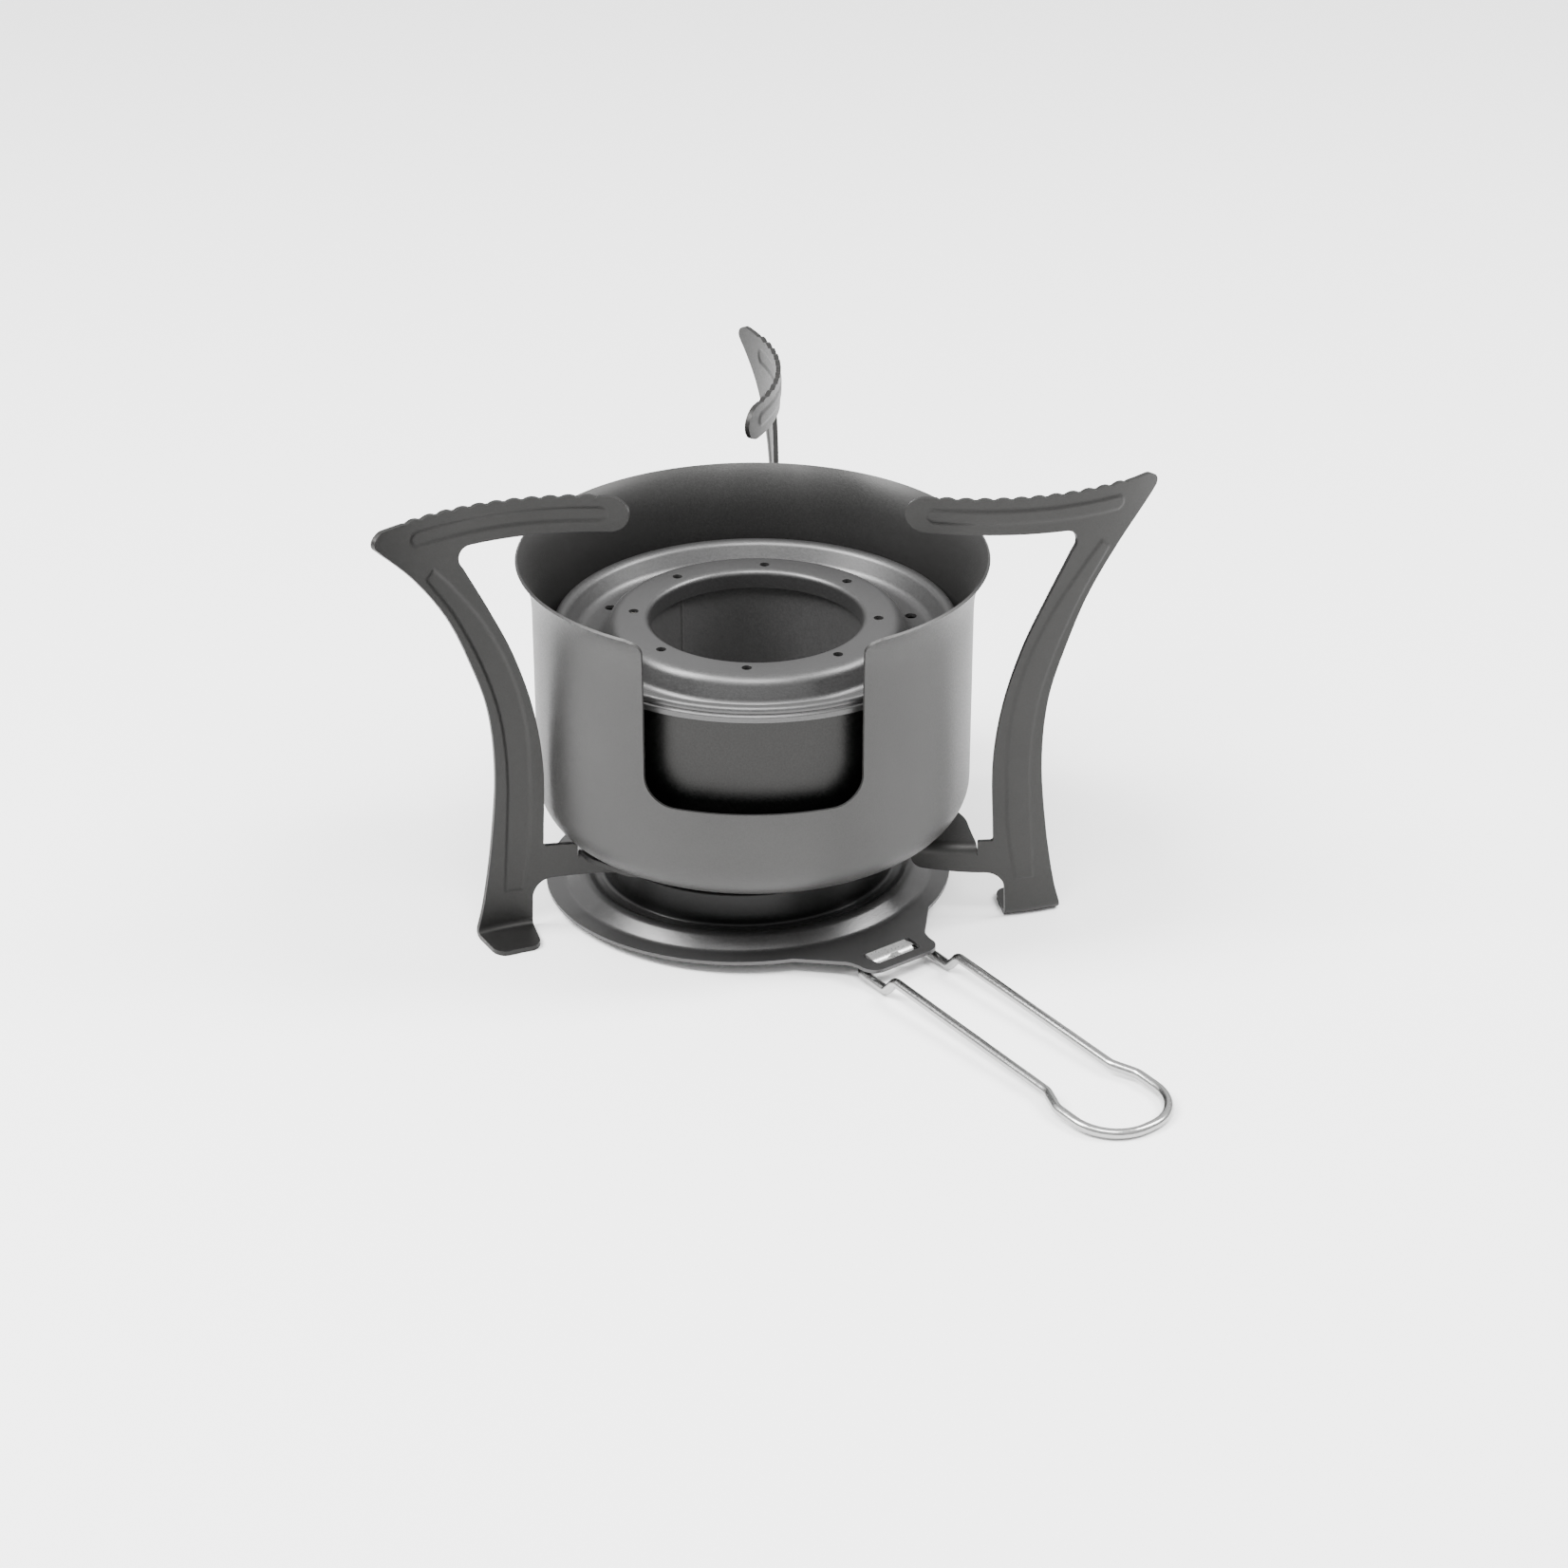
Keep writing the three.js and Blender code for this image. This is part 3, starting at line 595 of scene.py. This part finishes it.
def wick():
    """Felt ring between the sleeve and the body."""
    z = BODY_Z + 3.4
    return lathe(fillet([(22.8, z, 0), (36.2, z, 0), (36.2, 48, 1.2), (22.8, 48, 1.2), (22.8, 46)]), 120)


BURNER = (("burner_cup", burner_shell, "burner_body", SHADED_BODY_MAT),
          ("burner_crown", burner_top, "burner_top_ring", BURNER_MAT),
          ("burner_sleeve", sleeve, "burner_inner_sleeve", SLEEVE_MAT))
for name, make, node, material in BURNER:
    piece(name, make(), node, "burner", material, BURNER_AT)
piece("wick_ring", wick(), "burner_wick", "burner", FELT_MAT, BURNER_AT, bevel=0)


# ---- snuffer lid ------------------------------------------------------------------------------
def lid():
    """Turned dome and ridge, and a flat rim with the tab and its window."""
    seg, join = 240, RIM_JOIN
    line = fillet([(0, DOME_H), (DOME_R, DOME_H, 0.6), (DOME_R, 2.0, 0.8), (30.6, 2.1, 2.0),
                   (32.9, 3.6, 1.9), (36.2, LID_T, 1.5), (join, LID_T)], step=7)
    closed = thick(line, LID_T)
    top, bottom = closed[:len(line)], closed[len(line):]
    bottom[0] = Vector((join, 0))
    bm = lathe(top, seg, closed=False)
    lathe(bottom, seg, closed=False, bm=bm)
    flank = [(TAB_U, TAB_V), (44.2, 9.2, 3.4), (46.3, 8.6, 2), (50.4, 8.3, 3.2)]
    tab = fillet([(p[0], -p[1], *p[2:]) for p in flank] + flank[::-1])
    start = atan2(TAB_V, TAB_U)
    rim = [Vector((LID_R * cos(a), LID_R * sin(a))) for a in
           (start + 0.06 + (2 * pi - 2 * start - 0.12) * i / 200 for i in range(201))]
    window = fillet([(43.6, -5.6, 0.5), (43.6, 5.6, 0.5), (48.1, 5.2, 0.5), (48.1, -5.2, 0.5)], closed=True)
    inner = [Vector((join * cos(2 * pi * i / seg), join * sin(2 * pi * i / seg))) for i in range(seg)]
    outside = tab[1:-1] + rim
    add_caps(bm, (outside, window, inner), (0, LID_T))
    add_walls(bm, (outside, window), 0, LID_T)
    bmesh.ops.remove_doubles(bm, verts=bm.verts, dist=2e-6)
    return bm


def curl():
    """Tongue from the lid's window, sloping down and curled round the wire, with a small lug on it."""
    r, half_width, lift = WIRE_R + 0.1 + 0.3, 4.7, CURL_T / 2
    path = [Vector((43.0, 0.35)), Vector((43.9, 0.3))]
    path += [Vector((BARREL_U + r * cos(a), BARREL_Z + r * sin(a)))
             for a in (radians(100 - 11 * i) for i in range(28))]
    ring = thick(path, CURL_T)
    bm = bmesh.new()
    a, b = ([bm.verts.new((p.x * MM, v * MM, (p.y + lift) * MM)) for p in ring]
            for v in (-half_width, half_width))
    add_band(bm, a, b)
    bm.faces.new(a)
    bm.faces.new(b)
    lug = [fillet([(46.2, -0.8), (48.5, -0.8), (48.5, 0.8), (46.2, 0.8)], closed=True)]
    add_caps(bm, lug, (-0.1, 0.5))
    add_walls(bm, lug, -0.1, 0.5)
    bmesh.ops.remove_doubles(bm, verts=bm.verts, dist=1e-6)
    return bm


piece("lid_shell", lid(), "snuffer_lid", "lid", LID_MAT, LID_AT)
piece("lid_hinge_curl", curl(), "snuffer_lid", "lid", LIT_CURL_MAT, LID_AT, bevel=0.08)


# ---- wire handle --------------------------------------------------------------------------------
def handle():
    """Wire from its pin in the curl, up a kink, along both sides and round the grip."""
    half, grip = 7.6, 9.6
    side = [(0, 0.25, 0, 0), (0, half, 0, 1.7), (8.3, half, 0, 1.5), (10.7, half, KINK_H, 1.5),
            (54, half, KINK_H, 4), (59, grip, KINK_H, 4), (HANDLE_LENGTH, grip, KINK_H, 8.8)]
    return tube(bend3(side + [(x, -y, z, r) for x, y, z, r in side[::-1]]), WIRE_R, 24)


hinge = joint["lid_handle_fold"]["pos_m"]
droop = asin((hinge[2] / MM + KINK_H - WIRE_R - 0.05) / HANDLE_LENGTH)      # its end rests on the table
HANDLE_AT = Matrix.Translation(hinge) @ Matrix.Rotation(radians(LID_AZ), 4, "Z") \
    @ Matrix.Rotation(droop, 4, "Y")
piece("lid_wire_handle", handle(), "lid_handle", "lid_handle", STEEL_MAT, HANDLE_AT, bevel=0)


# ---- floor, light and camera ----------------------------------------------------------------------
FLOOR_HALF, FLOOR_TONE, FLOOR_ROUGH = 4, 0.93, 0.7
floor_mat = bpy.data.materials.new("pale_floor")
floor_mat.use_nodes = True
paint = floor_mat.node_tree.nodes["Principled BSDF"].inputs
paint["Base Color"].default_value = (FLOOR_TONE, FLOOR_TONE, FLOOR_TONE, 1)
paint["Roughness"].default_value = FLOOR_ROUGH
sheet = bpy.data.meshes.new("floor")
sheet.from_pydata([(x * FLOOR_HALF, y * FLOOR_HALF, 0) for x, y in ((-1, -1), (1, -1), (1, 1), (-1, 1))],
                  [], [(0, 1, 2, 3)])
sheet.materials.append(floor_mat)
floor = bpy.data.objects.new("floor", sheet)
bpy.context.scene.collection.objects.link(floor)

SKY_LOW, SKY_HIGH, SKY_KNEE, SKY_POWER = 0.32, 1.0, 0.65, 1.6     # grey low down, white overhead
world = bpy.data.worlds.new("studio")
bpy.context.scene.world = world
world.use_nodes = True
sky = world.node_tree
direction, height, tone = (sky.nodes.new("ShaderNode" + k) for k in ("TexCoord", "SeparateXYZ", "ValToRGB"))
sky.links.new(direction.outputs["Generated"], height.inputs["Vector"])
sky.links.new(height.outputs["Z"], tone.inputs["Fac"])
for stop, level in zip(tone.color_ramp.elements, (SKY_LOW, SKY_HIGH)):
    stop.color = (level, level, level, 1)
tone.color_ramp.elements[1].position = SKY_KNEE
sky.links.new(tone.outputs["Color"], sky.nodes["Background"].inputs["Color"])
sky.nodes["Background"].inputs["Strength"].default_value = SKY_POWER

LIGHT_AIM = Vector((0, 0, 0.03))


def softbox(name, where, size, power):
    """Rectangular light at where, turned to the middle of the set."""
    light = bpy.data.lights.new(name, "AREA")
    light.shape, light.size, light.size_y, light.energy = "RECTANGLE", size[0], size[1], power
    o = bpy.data.objects.new(name, light)
    o.location = where
    o.rotation_euler = (LIGHT_AIM - Vector(where)).to_track_quat("-Z", "Y").to_euler()
    bpy.context.scene.collection.objects.link(o)


softbox("left", (-0.66, -0.12, 0.86), (0.35, 0.55), 25)
softbox("right", (0.74, 0.08, 0.82), (0.3, 0.5), 17)
softbox("top", (-0.03, -0.42, 1.0), (0.6, 0.3), 14)

SENSOR, LENS = 36, 83.5714                  # mm
CAMERA_BACK, CAMERA_UP, CAMERA_PITCH, CAMERA_YAW = 0.630, 0.3502, 27.52, 0.537
camera = bpy.data.objects.new("camera", bpy.data.cameras.new("camera"))
camera.data.sensor_width, camera.data.lens, camera.data.clip_end = SENSOR, LENS, 20
camera.location = AXIS.translation + Vector((0, -CAMERA_BACK, CAMERA_UP))
camera.rotation_euler = (radians(90 - CAMERA_PITCH), 0, radians(-CAMERA_YAW))
bpy.context.scene.collection.objects.link(camera)
bpy.context.scene.camera = camera
